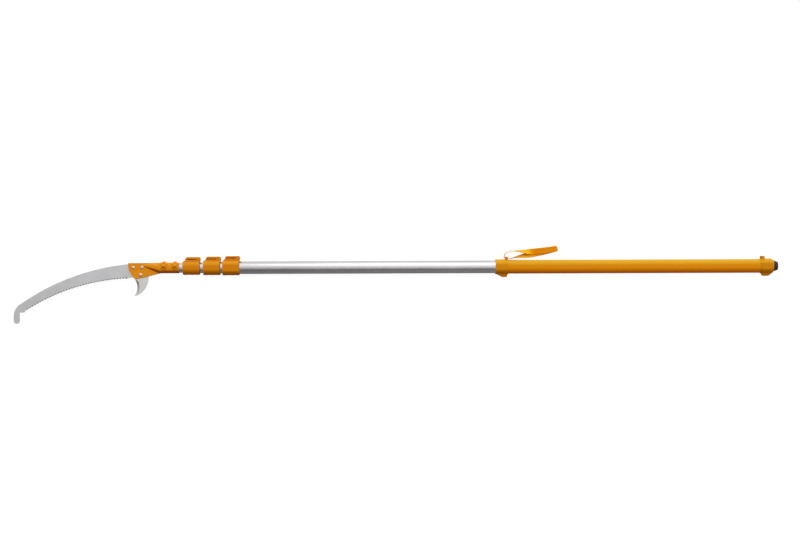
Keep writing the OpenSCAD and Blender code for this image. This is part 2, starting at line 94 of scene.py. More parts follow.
class Shader:
    """A Principled material with short helpers for its procedural nodes."""

    def __init__(self, name, color, metallic=0.0, rough=0.4, coat=0.0, coat_rough=0.1):
        self.mat = bpy.data.materials.new(name)
        self.mat.use_nodes = True
        self.mat.diffuse_color = (*color, 1)
        self.tree = self.mat.node_tree
        self.bsdf = self.tree.nodes["Principled BSDF"]
        self.set("Base Color", (*color, 1))
        self.set("Metallic", metallic)
        self.set("Roughness", rough)
        self.set("Coat Weight", coat)
        self.set("Coat Roughness", coat_rough)
        self.bumps = None

    def set(self, socket, value):
        self.bsdf.inputs[socket].default_value = value

    def node(self, kind, **values):
        made = self.tree.nodes.new("ShaderNode" + kind)
        for key, value in values.items():
            if key in made.inputs:
                made.inputs[key].default_value = value
            else:
                setattr(made, key, value)
        return made

    def link(self, a, b):
        self.tree.links.new(a, b)

    def place(self, stretch=(1, 1, 1), uv=None):
        """Object coordinates in metres, or a named UV map, stretched along each axis."""
        if uv:
            source = self.node("UVMap", uv_map=uv).outputs["UV"]
        else:
            source = self.node("TexCoord").outputs["Object"]
        moved = self.node("Mapping")
        moved.inputs["Scale"].default_value = stretch
        self.link(source, moved.inputs["Vector"])
        return moved.outputs["Vector"]

    def noise(self, vector, scale, detail=4.0, rough=0.5, warp=0.0):
        made = self.node("TexNoise")
        made.inputs["Scale"].default_value = scale
        made.inputs["Detail"].default_value = detail
        made.inputs["Roughness"].default_value = rough
        made.inputs["Distortion"].default_value = warp
        self.link(vector, made.inputs["Vector"])
        return made.outputs["Fac"]

    def ramp(self, fac, *stops):
        """stops are (position, grey or colour)."""
        made = self.node("ValToRGB")
        cr = made.color_ramp
        while len(cr.elements) < len(stops):
            cr.elements.new(0.5)
        for element, (pos, value) in zip(cr.elements, stops):
            element.position = pos
            element.color = (*value, 1) if hasattr(value, "__len__") else (value,) * 3 + (1,)
        self.link(fac, made.inputs["Fac"])
        return made.outputs["Color"]

    def span(self, fac, a, b, lo=0.0, hi=1.0):
        made = self.node("MapRange")
        for i, v in enumerate((lo, hi, a, b)):
            made.inputs[i + 1].default_value = v
        self.link(fac, made.inputs[0])
        return made.outputs[0]

    def math(self, op, a, b=None):
        made = self.node("Math", operation=op)
        for i, v in enumerate((a, b)):
            if v is None:
                continue
            if isinstance(v, (int, float)):
                made.inputs[i].default_value = v
            else:
                self.link(v, made.inputs[i])
        return made.outputs[0]

    def blend(self, fac, a, b, mode="MIX"):
        made = self.node("Mix", data_type="RGBA", blend_type=mode)
        for socket, v in ((made.inputs[0], fac), (made.inputs[6], a), (made.inputs[7], b)):
            if isinstance(v, (int, float)):
                socket.default_value = v
            elif isinstance(v, tuple):
                socket.default_value = (*v, 1)
            else:
                self.link(v, socket)
        return made.outputs[2]

    def sides(self, shade_tone, plain, sunny, low=-0.6, high=0.65):
        """Painted shade and painted light in the base colour: the shade tone on faces that look away from the
        lever side, the sunny lit tone on those that look to it.
        """
        parts = self.node("SeparateXYZ")
        self.link(self.node("TexCoord").outputs["Normal"], parts.inputs[0])
        fac = self.span(parts.outputs[1], 0.0, 1.0, low, high)
        return self.ramp(fac, (0.0, shade_tone), (-low / (high - low), plain), (1.0, sunny))

    def color(self, out):
        self.link(out, self.bsdf.inputs["Base Color"])

    def rough(self, out):
        self.link(out, self.bsdf.inputs["Roughness"])

    def bump(self, height, distance, strength=1.0):
        """Adds a bump on top of those already there. distance is in metres."""
        made = self.node("Bump")
        made.inputs["Distance"].default_value = distance
        made.inputs["Strength"].default_value = strength
        self.link(height, made.inputs["Height"])
        if self.bumps:
            self.link(self.bumps, made.inputs["Normal"])
        self.bumps = made.outputs["Normal"]
        self.link(self.bumps, self.bsdf.inputs["Normal"])


def shade(color, k):
    return tuple(min(1.0, c * k) for c in color)


def alloy():
    """Satin anodised tube: fine draw lines along X, faint rub marks and handling haze."""
    base = (0.76, 0.735, 0.742)
    s = Shader("anodised_alloy", base, metallic=1.0, rough=0.24)
    lines = s.noise(s.place((1.5, 900, 900)), 1.0, 2)
    scuff = s.noise(s.place((6, 260, 260)), 1.0, 5, 0.6, 0.4)
    haze = s.noise(s.place(), 9.0, 4)
    tint = s.blend(s.span(haze, 0, 1, 0.3, 0.7), shade(base, 0.93), shade(base, 1.04))
    s.color(s.blend(s.span(scuff, 0.0, 0.5, 0.62, 0.8), tint, (0.86, 0.86, 0.87)))
    s.rough(s.math("ADD", s.span(lines, 0.17, 0.27), s.span(haze, -0.03, 0.05, 0.3, 0.7)))
    s.bump(lines, 0.00002, 0.5)
    return s.mat


def enamel(name, shade_tone, color, sunny):
    """Thick glossy paint: orange peel, painted shade on faces turned away from the lever side and painted
    light on faces turned to it, and a lighter rub on edges.
    """
    s = Shader(name, color, rough=0.34)
    s.set("Specular IOR Level", 0.06)
    peel = s.noise(s.place(), 620.0, 3)
    cloud = s.noise(s.place(), 30.0, 4)
    # Painted shade and painted light: darker on faces turned away from the lever side, lighter on faces
    # turned to it.
    tone = s.sides(shade_tone, color, sunny)
    tone = s.blend(s.span(cloud, 0, 1, 0.3, 0.7), tone, s.blend(0.06, tone, (0.0, 0.0, 0.0)))
    edge = s.node("NewGeometry").outputs["Pointiness"]
    worn = s.math(
        "MULTIPLY",
        s.span(edge, 0.0, 0.55, 0.53, 0.60),
        s.span(s.noise(s.place(), 180.0, 6, 0.7), 0.0, 1.0, 0.45, 0.6),
    )
    s.color(s.blend(worn, tone, tuple(0.85 * c + 0.1 for c in color)))
    s.rough(s.span(cloud, 0.28, 0.42, 0.25, 0.75))
    s.bump(peel, 0.00006, 0.35)
    return s.mat


def plastic(name, shade_tone, color, sunny, rough=0.3, grain=1400.0):
    """Glossy moulded plastic: flow marks along X, a fine mould grain and hairline scratches."""
    s = Shader(name, color, rough=rough)
    s.set("Specular IOR Level", 0.05)
    flow = s.noise(s.place((3, 40, 40)), 1.0, 3, 0.5, 0.6)
    fine = s.noise(s.place(), grain, 2)
    hair = s.noise(s.place((25, 900, 900)), 1.0, 2, 0.5, 1.5)
    # Painted shade and painted light: darker on faces turned away from the lever side, lighter on faces
    # turned to it.
    tone = s.sides(shade_tone, color, sunny)
    tone = s.blend(s.span(flow, 0, 1, 0.3, 0.7), tone, s.blend(0.05, tone, (0.0, 0.0, 0.0)))
    mark = s.span(hair, 0.0, 0.25, 0.68, 0.74)
    s.color(s.blend(mark, tone, tuple(0.9 * c + 0.05 for c in color)))
    s.rough(s.math("ADD", s.span(flow, rough - 0.05, rough + 0.06, 0.3, 0.7), s.math("MULTIPLY", mark, 0.4)))
    s.bump(fine, 0.00004, 0.35)
    s.bump(hair, 0.00003, 0.3)
    return s.mat


def blade_steel(name, base, centre, across=1100.0, lo=0.24, hi=0.4):
    """Ground steel: grinding lines that follow the arc about centre, smudges and tiny specks."""
    s = Shader(name, base, metallic=1.0, rough=0.32)
    away = s.node("VectorMath", operation="SUBTRACT")
    s.link(s.node("TexCoord").outputs["Object"], away.inputs[0])
    away.inputs[1].default_value = (centre[0], centre[1], 0)
    flat = s.node("VectorMath", operation="MULTIPLY")
    s.link(away.outputs[0], flat.inputs[0])
    flat.inputs[1].default_value = (1, 1, 0)
    radius = s.node("VectorMath", operation="LENGTH")
    s.link(flat.outputs[0], radius.inputs[0])
    parts = s.node("SeparateXYZ")
    s.link(flat.outputs[0], parts.inputs[0])
    turn = s.math("ARCTAN2", parts.outputs[1], parts.outputs[0])
    polar = s.node("CombineXYZ")
    s.link(s.math("MULTIPLY", radius.outputs["Value"], across), polar.inputs[0])
    s.link(s.math("MULTIPLY", turn, 14.0), polar.inputs[1])
    lines = s.noise(polar.outputs[0], 1.0, 3, 0.6)
    smudge = s.noise(s.place(), 22.0, 5, 0.6)
    speck = s.noise(s.place(), 420.0, 2)
    tone = s.blend(s.span(smudge, 0, 1, 0.3, 0.7), shade(base, 0.9), shade(base, 1.06))
    s.color(s.blend(s.span(speck, 0.0, 0.35, 0.70, 0.78), tone, shade(base, 0.6)))
    s.rough(s.math("ADD", s.span(lines, lo, hi, 0.2, 0.8), s.span(smudge, -0.04, 0.06, 0.3, 0.7)))
    s.bump(lines, 0.00003, 0.45)
    return s.mat


def zinc(name, base):
    """Bright plated fasteners with a faint crystalline tone."""
    s = Shader(name, base, metallic=1.0, rough=0.25)
    cell = s.node("TexVoronoi")
    cell.inputs["Scale"].default_value = 900.0
    s.link(s.place(), cell.inputs["Vector"])
    cloud = s.noise(s.place(), 260.0, 4)
    s.color(s.blend(s.span(cloud, 0, 1, 0.3, 0.7), shade(base, 0.88), shade(base, 1.1)))
    s.rough(s.span(cell.outputs["Distance"], 0.2, 0.34, 0, 0.6))
    s.bump(cloud, 0.00004, 0.4)
    return s.mat


def nylon():
    """Milky slide plastic, slightly polished where it runs."""
    base = (0.78, 0.76, 0.70)
    s = Shader("slide_nylon", base, rough=0.45)
    s.set("Subsurface Weight", 0.15)
    s.set("Subsurface Radius", (0.003, 0.003, 0.002))
    rub = s.noise(s.place((40, 300, 300)), 1.0, 4)
    s.color(s.blend(s.span(rub, 0, 1, 0.35, 0.65), shade(base, 0.92), base))
    s.rough(s.span(rub, 0.35, 0.55, 0.3, 0.7))
    s.bump(s.noise(s.place(), 900.0, 2), 0.00004, 0.3)
    return s.mat


def rubber(name, base, rough=0.6):
    """Moulded rubber with a fine matt grain and dusty high spots."""
    s = Shader(name, base, rough=rough)
    s.set("Specular IOR Level", 0.35)
    grain = s.noise(s.place(), 1500.0, 3)
    dust = s.noise(s.place(), 120.0, 5, 0.6)
    s.color(s.blend(s.span(dust, 0.0, 0.6, 0.5, 0.8), base, tuple(c + 0.05 for c in base)))
    s.rough(s.span(dust, rough - 0.08, rough + 0.14, 0.3, 0.7))
    s.bump(grain, 0.0001, 0.5)
    return s.mat


def webbing(shade_tone, color, sunny):
    """Woven strap: warp cords across its width from the strap's own UV map, in metres."""
    s = Shader("strap_webbing", color, rough=0.7)
    s.set("Specular IOR Level", 0.03)
    wave = s.node("TexWave", wave_type="BANDS", bands_direction="DIAGONAL")
    wave.inputs["Scale"].default_value = 160.0
    wave.inputs["Distortion"].default_value = 0.6
    s.link(s.place(uv="run"), wave.inputs["Vector"])
    yarn = s.noise(s.place((300, 3000, 1), uv="run"), 1.0, 3)
    fade = s.noise(s.place(), 40.0, 4)
    # Painted shade and painted light: darker on faces turned away from the lever side, lighter on faces
    # turned to it.
    tone = s.sides(shade_tone, color, sunny, -0.4, 0.45)
    tone = s.blend(s.span(wave.outputs["Fac"], 0.0, 0.14), tone, (0.0, 0.0, 0.0))
    s.color(s.blend(s.span(fade, 0.0, 0.1, 0.4, 0.75), tone, (0.0, 0.0, 0.0)))
    s.rough(s.span(yarn, 0.6, 0.85, 0.3, 0.7))
    s.bump(wave.outputs["Fac"], 0.0001, 0.4)
    s.bump(yarn, 0.00008, 0.5)
    return s.mat


# ---- Mesh building ----


def to_frame(points):
    return np.asarray(points, float) * MM + ORIGIN


def put(name, points, faces, mat, body, nodes=(), slot=None, smooth=True):
    """Makes a piece of these points, in millimetres, and hangs it on its body."""
    mesh = bpy.data.meshes.new(name)
    mesh.from_pydata(to_frame(points).tolist(), [], [tuple(f) for f in faces])
    mesh.validate()
    mesh.polygons.foreach_set("use_smooth", [smooth] * len(mesh.polygons))
    mesh.update()
    obj = bpy.data.objects.new(name, mesh)
    bpy.context.scene.collection.objects.link(obj)
    mesh.materials.append(mat)
    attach(obj, body)
    if nodes:
        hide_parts(*nodes)
    return obj


def meld(parts):
    """Several (points, faces) as one."""
    points, faces, base = [], [], 0
    for p, f in parts:
        points.extend(np.asarray(p, float).tolist())
        faces.extend([tuple(int(i) + base for i in q) for q in f])
        base += len(p)
    return points, faces


def by_angle(obj, degrees=32):
    """Smooth shading, with edges sharper than this left crisp."""
    obj.data.set_sharp_from_angle(angle=math.radians(degrees))


# Signed distances, negative inside. They are combined with rounded joins and rounded edges.


def join(a, b, r=0.0):
    return np.maximum(r, np.minimum(a, b)) - np.hypot(np.maximum(r - a, 0), np.maximum(r - b, 0))


def meet(a, b, r=0.0):
    return np.minimum(-r, np.maximum(a, b)) + np.hypot(np.maximum(r + a, 0), np.maximum(r + b, 0))


def between(v, a, b):
    return np.maximum(a - v, v - b)


def stadium(y, z, r):
    return np.hypot(np.maximum(np.abs(y) - OVAL, 0), z) - r


def disc(x, y, centre, r):
    return np.hypot(x - centre[0], y - centre[1]) - r


def outline(x, y, pts):
    """Distance to a polygon in the plane of x and y."""
    x, y = np.broadcast_arrays(x, y)
    d, s = np.full(x.shape, 1e9), np.ones(x.shape)
    for (ax, ay), (bx, by) in zip(pts, pts[1:] + pts[:1]):
        ex, ey, wx, wy = bx - ax, by - ay, x - ax, y - ay
        t = np.clip((wx * ex + wy * ey) / (ex * ex + ey * ey), 0, 1)
        d = np.minimum(d, np.hypot(wx - ex * t, wy - ey * t))
        up, down, left = y >= ay, y < by, ex * wy > ey * wx
        s = np.where((up & down & left) | ~(up | down | left), -s, s)
    return d * s


def around(points):
    """Convex outline of points, counter-clockwise."""
    points = sorted(set((round(a, 4), round(b, 4)) for a, b in points))
    half = []
    for run in (points, points[::-1]):
        chain = []
        for p in run:
            while len(chain) > 1 and (
                (chain[-1][0] - chain[-2][0]) * (p[1] - chain[-2][1])
                - (chain[-1][1] - chain[-2][1]) * (p[0] - chain[-2][0])
            ) <= 0:
                chain.pop()
            chain.append(p)
        half += chain[:-1]
    return half


def ring(centre, r, n=24):
    return [
        (centre[0] + r * math.cos(2 * math.pi * i / n), centre[1] + r * math.sin(2 * math.pi * i / n))
        for i in range(n)
    ]


def cast(name, lo, hi, step, field, mat, body, nodes, slot):
    """A piece from a distance field over a box: field(x, y, z) in millimetres."""
    lo, hi = np.array(lo, float) - 2 * step, np.array(hi, float) + 2 * step
    axes = [np.arange(a, b + step, step) for a, b in zip(lo, hi)]
    x, y, z = axes[0][:, None, None], axes[1][None, :, None], axes[2][None, None, :]
    values = np.broadcast_to(field(x, y, z), [len(a) for a in axes])
    grid = openvdb.FloatGrid(background=3 * step)
    grid.copyFromArray(np.clip(values, -3 * step, 3 * step).astype(np.float32))
    points, quads = grid.convertToQuads()
    points = lo + points * step
    a, b, c, d = (points[quads[:, i]] for i in range(4))
    volume = np.einsum("ij,ij->", a, np.cross(b, c)) + np.einsum("ij,ij->", a, np.cross(c, d))
    if volume < 0:
        quads = quads[:, ::-1]
    return put(name, points, quads.tolist(), mat, body, nodes, slot)


def sweep(rings, closed=False):
    """Faces that skin rings of equal count, with caps unless the run closes on itself."""
    n, m = len(rings[0]), len(rings)
    points = [p for r in rings for p in r]
    faces = []
    for i in range(m if closed else m - 1):
        j = (i + 1) % m
        faces += [(i * n + k, i * n + (k + 1) % n, j * n + (k + 1) % n, j * n + k) for k in range(n)]
    if not closed:
        faces.append(tuple(range(n - 1, -1, -1)))
        faces.append(tuple((m - 1) * n + k for k in range(n)))
    return points, faces


def oval_ring(x, r, n=72):
    """Points round the oval of half width r at station x."""
    out = []
    for k in range(n):
        a = 2 * math.pi * k / n
        y, z = r * math.cos(a), r * math.sin(a)
        out.append((x, y + math.copysign(OVAL, math.cos(a) + 1e-9), z))
    return out


def turned(profile, n=72):
    """A closed skin through the oval rings of a closed profile of (station, half width)."""
    return sweep([oval_ring(x, r, n) for x, r in profile], closed=True)


def tube_profile(x0, x1, r_out, r_in, edge=0.35):
    """Closed profile of an oval tube with softened rims."""
    corners = [
        (x0, r_in, 1, 1), (x0, r_out, 1, -1), (x1, r_out, -1, -1), (x1, r_in, -1, 1),
    ]
    out = []
    for i, (x, r, sx, sr) in enumerate(corners):
        bends = [(x + sx * edge * (1 - math.sin(a)), r + sr * edge * (1 - math.cos(a)))
                 for a in (0, math.pi / 4, math.pi / 2)]
        out += bends if i % 2 == 0 else bends[::-1]
    return out


def lathe(rings, n=48):
    """Rings round +Z of (radius, height, sides): sides 0 is round, 6 is a hexagon. Closed at both ends."""
    made = []
    for radius, height, sides in rings:
        row = []
        for k in range(n):
            a = 2 * math.pi * k / n
            r = radius
            if sides:
                part = 2 * math.pi / sides
                r = radius * math.cos(part / 2) / math.cos((a % part) - part / 2)
            row.append((r * math.cos(a), r * math.sin(a), height))
        made.append(row)
    return sweep(made)


def moved(part, x, y, z=0.0):
    points, faces = part
    return [(a + x, b + y, c + z) for a, b, c in points], faces


def rim(node, top=True):
    """Outline loops of a flat CAD node's upper or lower face in the XY plane, largest first."""
    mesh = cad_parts[node].data
    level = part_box(node)[1 if top else 0].z
    co = np.array([v.co for v in mesh.vertices])
    keys = [tuple(np.round(p, 6)) for p in co]
    count, where = {}, {}
    for f in mesh.polygons:
        ids = list(f.vertices)
        if all(abs(co[i][2] - level) < 2e-6 for i in ids):
            for a, b in zip(ids, ids[1:] + ids[:1]):
                ka, kb = keys[a], keys[b]
                count[frozenset((ka, kb))] = count.get(frozenset((ka, kb)), 0) + 1
                where[(ka, kb)] = True
    follow = {a: b for a, b in where if count[frozenset((a, b))] == 1}
    loops = []
    while follow:
        start, here = next(iter(follow)), []
        p = start
        while p in follow:
            here.append(p)
            p = follow.pop(p)
        loops.append([((a - ORIGIN[0]) / MM, (b - ORIGIN[1]) / MM) for a, b, _ in here])
    return sorted(loops, key=lambda loop: abs(area_of(loop)), reverse=True)


def inset(loop, depth):
    """A counter-clockwise loop with each point moved inwards by depth, a number or one for each."""
    n = len(loop)
    depth = [depth] * n if isinstance(depth, (int, float)) else depth
    p = np.array(loop)
    along = np.roll(p, -1, 0) - p
    along /= np.linalg.norm(along, axis=1)[:, None]
    normal = np.stack([-along[:, 1], along[:, 0]], 1)
    both = normal + np.roll(normal, 1, 0)
    both /= np.maximum(np.linalg.norm(both, axis=1), 1e-6)[:, None]
    reach = 1 / np.maximum((both * normal).sum(1), 0.5)
    return [tuple(p[i] + both[i] * depth[i] * reach[i]) for i in range(n)]


def area_of(loop):
    return sum(a[0] * b[1] - b[0] * a[1] for a, b in zip(loop, loop[1:] + loop[:1])) / 2


def wafer(levels, holes):
    """A plate from levels of (outline, heights), bottom to top, with straight holes of the same loops.
    heights is one number, or one for each point."""
    points, faces = [], []
    zs = [h if hasattr(h, "__len__") else [h] * len(o) for o, h in levels]
    n = len(levels[0][0])
    for (o, _), h in zip(levels, zs):
        points += [(x, y, z) for (x, y), z in zip(o, h)]
    for i in range(len(levels) - 1):
        faces += [(i * n + k, i * n + (k + 1) % n, (i + 1) * n + (k + 1) % n, (i + 1) * n + k)
                  for k in range(n)]
    z0, z1 = min(zs[0]), max(zs[-1])
    starts = []
    for hole in holes:
        starts.append(len(points))
        m = len(hole)
        points += [(x, y, z0) for x, y in hole] + [(x, y, z1) for x, y in hole]
        s = starts[-1]
        faces += [(s + k, s + (k + 1) % m, s + m + (k + 1) % m, s + m + k) for k in range(m)]
    for top in (False, True):
        base = (len(levels) - 1) * n if top else 0
        loops = [[Vector((x, y, 0)) for x, y in levels[-1 if top else 0][0]]]
        index = [base + k for k in range(n)]
        for hole, s in zip(holes, starts):
            loops.append([Vector((x, y, 0)) for x, y in hole])
            index += [s + (len(hole) if top else 0) + k for k in range(len(hole))]
        for tri in geometry.tessellate_polygon(loops):
            a, b, c = (np.array(points[index[i]]) for i in tri)
            up = (b[0] - a[0]) * (c[1] - a[1]) - (b[1] - a[1]) * (c[0] - a[0]) > 0
            face = [index[i] for i in tri]
            faces.append(tuple(face if up == top else face[::-1]))
    return points, faces


def circle_through(a, b, c):
    """Centre and radius of the circle through three points."""
    (ax, ay), (bx, by), (cx, cy) = a, b, c
    d = 2 * (ax * (by - cy) + bx * (cy - ay) + cx * (ay - by))
    aa, bb, cc = ax * ax + ay * ay, bx * bx + by * by, cx * cx + cy * cy
    x = (aa * (by - cy) + bb * (cy - ay) + cc * (ay - by)) / d
    y = (aa * (cx - bx) + bb * (ax - cx) + cc * (bx - ax)) / d
    return (x, y), math.hypot(ax - x, ay - y)


# ---- Camera ----

VIEW_WIDE = 2.624
DISTANCE = 4.5
camera = bpy.data.objects.new("camera", bpy.data.cameras.new("camera"))
bpy.context.scene.collection.objects.link(camera)
camera.data.sensor_width = 36.0
camera.data.lens = 36.0 * DISTANCE / VIEW_WIDE
camera.data.clip_start = 0.05
camera.data.clip_end = 60.0
camera.location = (0.01435, 0.045, ORIGIN[2] + DISTANCE)
camera.rotation_euler = (0, 0, math.radians(-0.2))
bpy.context.scene.camera = camera

# ---- Stage and light ----


def stage_floor():
    """A wide pale floor. It is white to the camera, and the object sees a darker ground on its low side."""
    half = 14.0
    mesh = bpy.data.meshes.new("floor")
    corners = [(-half, -half, 0), (half, -half, 0), (half, half, 0), (-half, half, 0)]
    mesh.from_pydata(corners, [], [(0, 1, 2, 3)])
    obj = bpy.data.objects.new("floor", mesh)
    bpy.context.scene.collection.objects.link(obj)
    mat = bpy.data.materials.new("floor_white")
    mat.use_nodes = True
    tree = mat.node_tree
    tree.nodes.clear()
    out = tree.nodes.new("ShaderNodeOutputMaterial")
    mix = tree.nodes.new("ShaderNodeMixShader")
    path = tree.nodes.new("ShaderNodeLightPath")
    tree.links.new(path.outputs["Is Camera Ray"], mix.inputs[0])
    ground = tree.nodes.new("ShaderNodeBsdfDiffuse")
    where = tree.nodes.new("ShaderNodeTexCoord")
    parts = tree.nodes.new("ShaderNodeSeparateXYZ")
    tree.links.new(where.outputs["Object"], parts.inputs[0])
    ramp = tree.nodes.new("ShaderNodeMapRange")
    for i, v in enumerate((ORIGIN[1] - 0.05, ORIGIN[1] + 0.05, 0.30, 0.95)):
        ramp.inputs[i + 1].default_value = v
    tree.links.new(parts.outputs[1], ramp.inputs[0])
    tree.links.new(ramp.outputs[0], ground.inputs["Color"])
    white = tree.nodes.new("ShaderNodeAddShader")
    lit = tree.nodes.new("ShaderNodeBsdfDiffuse")
    lit.inputs["Color"].default_value = (0.16, 0.16, 0.16, 1)
    glow = tree.nodes.new("ShaderNodeEmission")
    glow.inputs["Strength"].default_value = 0.93
    tree.links.new(lit.outputs[0], white.inputs[0])
    tree.links.new(glow.outputs[0], white.inputs[1])
    tree.links.new(ground.outputs[0], mix.inputs[1])
    tree.links.new(white.outputs[0], mix.inputs[2])
    tree.links.new(mix.outputs[0], out.inputs["Surface"])
    mesh.materials.append(mat)


def stage_world():
    """Soft surround: bright overhead and on the lever side, dim on the other side and to the blade's end."""
    world = bpy.data.worlds.new("studio")
    bpy.context.scene.world = world
    world.use_nodes = True
    tree = world.node_tree
    tree.nodes.clear()
    out = tree.nodes.new("ShaderNodeOutputWorld")
    where = tree.nodes.new("ShaderNodeTexCoord")
    parts = tree.nodes.new("ShaderNodeSeparateXYZ")
    tree.links.new(where.outputs["Generated"], parts.inputs[0])
    ramp = tree.nodes.new("ShaderNodeValToRGB")
    stops = [(0.0, 0.24), (0.30, 0.17), (0.44, 0.20), (0.478, 0.6), (0.505, 1.25), (0.60, 1.32), (0.76, 1.12),
             (1.0, 1.12)]
    while len(ramp.color_ramp.elements) < len(stops):
        ramp.color_ramp.elements.new(0.5)
    for element, (pos, v) in zip(ramp.color_ramp.elements, stops):
        element.position = pos
        element.color = (v, v, v * 1.01, 1)
    shift = tree.nodes.new("ShaderNodeMapRange")
    shift.inputs[1].default_value = -1.0
    tree.links.new(parts.outputs[1], shift.inputs[0])
    tree.links.new(shift.outputs[0], ramp.inputs["Fac"])
    fall = tree.nodes.new("ShaderNodeMapRange")
    for i, v in enumerate((-0.75, -0.15, 0.6, 1.0)):
        fall.inputs[i + 1].default_value = v
    tree.links.new(parts.outputs[0], fall.inputs[0])
    both = tree.nodes.new("ShaderNodeVectorMath")
    both.operation = "SCALE"
    tree.links.new(ramp.outputs["Color"], both.inputs[0])
    tree.links.new(fall.outputs[0], both.inputs["Scale"])
    around_it = tree.nodes.new("ShaderNodeBackground")
    tree.links.new(both.outputs[0], around_it.inputs["Color"])
    seen = tree.nodes.new("ShaderNodeBackground")
    seen.inputs["Color"].default_value = PALE
    path = tree.nodes.new("ShaderNodeLightPath")
    mix = tree.nodes.new("ShaderNodeMixShader")
    tree.links.new(path.outputs["Is Camera Ray"], mix.inputs[0])
    tree.links.new(around_it.outputs[0], mix.inputs[1])
    tree.links.new(seen.outputs[0], mix.inputs[2])
    tree.links.new(mix.outputs[0], out.inputs["Surface"])


def softbox(name, place, target, size, watts):
    light = bpy.data.lights.new(name, "AREA")
    light.shape = "RECTANGLE"
    light.size, light.size_y = size
    light.energy = watts
    obj = bpy.data.objects.new(name, light)
    bpy.context.scene.collection.objects.link(obj)
    obj.location = place
    obj.rotation_euler = (Vector(target) - Vector(place)).to_track_quat("-Z", "Y").to_euler()
    return obj


stage_floor()
stage_world()
softbox("key", (-0.3, 2.6, 3.0), (0, 0.05, 0), (3.6, 1.4), 25)
bpy.context.scene.view_settings.view_transform = "Standard"

# ---- Blade and under-hook ----

TOOTH_LINE = [(40, -138.2), (211, -60.4), (371, -34)]
TOOTH_DEPTH = 3.0
tooth_centre, tooth_r = circle_through(*TOOTH_LINE)
steel = blade_steel("ground_blade", (0.66, 0.66, 0.665), to_frame([*tooth_centre, 0]))


TIP_ROUND, TOOTH_GRIND, TOOTH_SET = 0.1, 3.6, 0.25
# How far the plate's edges and the tooth gullets stand back at the ground edge and at the flat face
GROUND_EDGE, FACE_EDGE = (0.25, 1.5), (0.8, 2.4)


def make_blade():
    """Plate with softened edges and teeth that are ground and set to each side in turn."""
    loops = rim("blade")
    edge, holes = loops[0], loops[1:]
    if area_of(edge) < 0:
        edge = edge[::-1]
    lo, hi = span("blade")
    z0, z1 = lo[2], hi[2]
    tips, roots = {}, set()
    for i, p in enumerate(edge):
        away = tooth_r - math.dist(p, tooth_centre)
        if 36 < p[0] < 372 and abs(away - TOOTH_DEPTH / 2) < 0.2:
            tips[i] = len(tips)
        elif 36 < p[0] < 372 and abs(away + TOOTH_DEPTH / 2) < 0.2:
            roots.add(i)

    def level(height, plain, root, share=None):
        """The outline moved into the blade, by plain at its edges and by root at its gullets. Odd teeth have
        this share of the grinding, and even ones the rest of it. Without a share the level is flat."""
        out, heights = inset(edge, plain), [height] * len(edge)
        for i in list(tips) + list(roots):
            depth = root
            if i in tips and share is None:
                depth += TOOTH_DEPTH
            elif i in tips:
                odd = tips[i] % 2
                depth = TIP_ROUND + TOOTH_GRIND * (share if odd else 1 - share)
                heights[i] += -TOOTH_SET if odd else TOOTH_SET
            p, c = np.array(edge[i]), np.array(tooth_centre)
            out[i] = tuple(p + (p - c) / np.linalg.norm(p - c) * depth)
        return out, heights

    t = z1 - z0
    levels = [
        level(z0, *FACE_EDGE), level(z0, *GROUND_EDGE, 0.0), level(z0 + 0.2 * t, 0, 0, 0.2),
        level(z0 + 0.8 * t, 0, 0, 0.8), level(z1, *GROUND_EDGE, 1.0), level(z1, *FACE_EDGE),
    ]
    blade = put("saw_blade", *wafer(levels, holes), steel, "inner_section", ["blade"], "saw_steel", False)
    # Painted shade: near-black steel on the ground facets of alternate teeth stands in for their shade and
    # dark reflection.
    gullet_shade_steel = blade_steel("painted_tooth_shade", (0.09, 0.087, 0.087), to_frame([*tooth_centre, 0]))
    blade.data.materials.append(gullet_shade_steel)
    for i, count in tips.items():
        for gap in ((2, 3) if count % 2 else (1, 2)):
            for k in (i - 1, i):
                blade.data.polygons[gap * len(edge) + k].material_index = 1


def make_sickle():
    """Plate with a broad ground bevel along its hollow edge."""
    loops = rim("sickle")
    edge, holes = loops[0], loops[1:]
    if area_of(edge) < 0:
        edge = edge[::-1]
    lo, hi = span("sickle")
    hollow, radius = circle_through((396.6, -90.6), (405, -63.5), (398, -38))
    ground = [abs(math.dist(p, hollow) - radius) < 0.1 and p[1] < -37 for p in edge]
    z = [lo[2], hi[2]]
    levels = [
        (inset(edge, 0.2), z[0]),
        (inset(edge, 0.0), z[0] + 0.3),
        (inset(edge, 0.0), [z[0] + 0.5 if g else z[1] - 0.3 for g in ground]),
        (inset(edge, [7.5 * min(1, (-37 - p[1]) / 12, (p[1] + 92.5) / 10) + 0.2 if g else 0.25
                      for g, p in zip(ground, edge)]), z[1]),
    ]
    mat = blade_steel("ground_hook", (0.76, 0.74, 0.70), to_frame([*hollow, 0]), 900.0, 0.26, 0.42)
    hook = put("under_hook", *wafer(levels, holes), mat, "inner_section", ["sickle"], "hook_steel", False)
    # Painted shade: the ground bevel along the hollow edge gets a darker steel that stands in for its
    # shading.
    hook.data.materials.append(blade_steel("hook_bevel_shade", (0.57, 0.55, 0.52), to_frame([*hollow, 0]), 1300.0))
    for k, g in enumerate(ground):
        if g and ground[(k + 1) % len(edge)]:
            hook.data.polygons[2 * len(edge) + k].material_index = 1


make_blade()
make_sickle()

# ---- Head bracket ----

